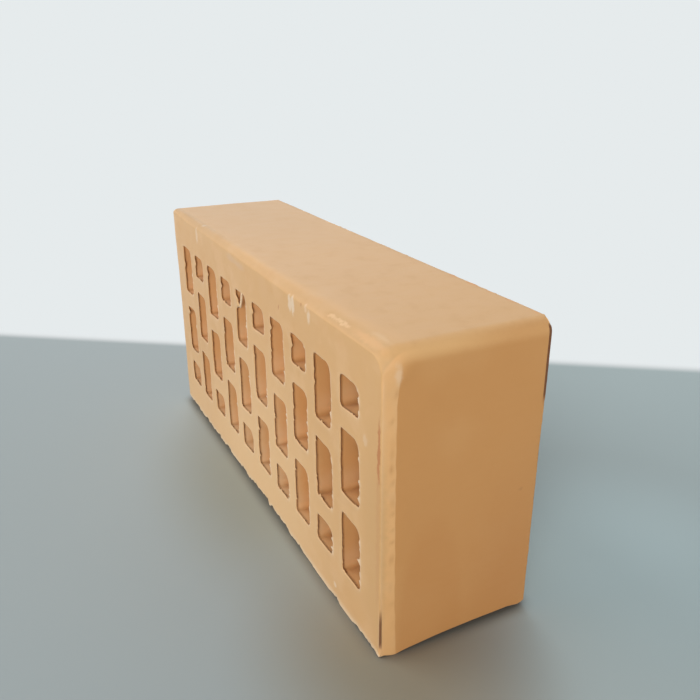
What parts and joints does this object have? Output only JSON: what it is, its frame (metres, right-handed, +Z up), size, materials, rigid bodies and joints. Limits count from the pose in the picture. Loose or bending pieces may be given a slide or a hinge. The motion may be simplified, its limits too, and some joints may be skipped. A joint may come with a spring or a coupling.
{
  "type": "perforated clay brick",
  "caption": "Perforated clay facing brick: a fired rectangular block with staggered rectangular voids right through it and one chamfered bed.",
  "frame": {"origin": "on the floor, under the middle of the brick as it stands on its back stretcher", "axes": "+X along the brick's length, -Y out of its chamfered bed, +Z up, out of its face stretcher"},
  "size_m": [0.25, 0.065, 0.12],
  "materials": {
    "fired_clay": "matt straw-coloured fired clay, wire cut on the beds and smooth on the sides"
  },
  "bodies": {
    "root": {"perforated_brick": "fired_clay"}
  },
  "joints": []
}
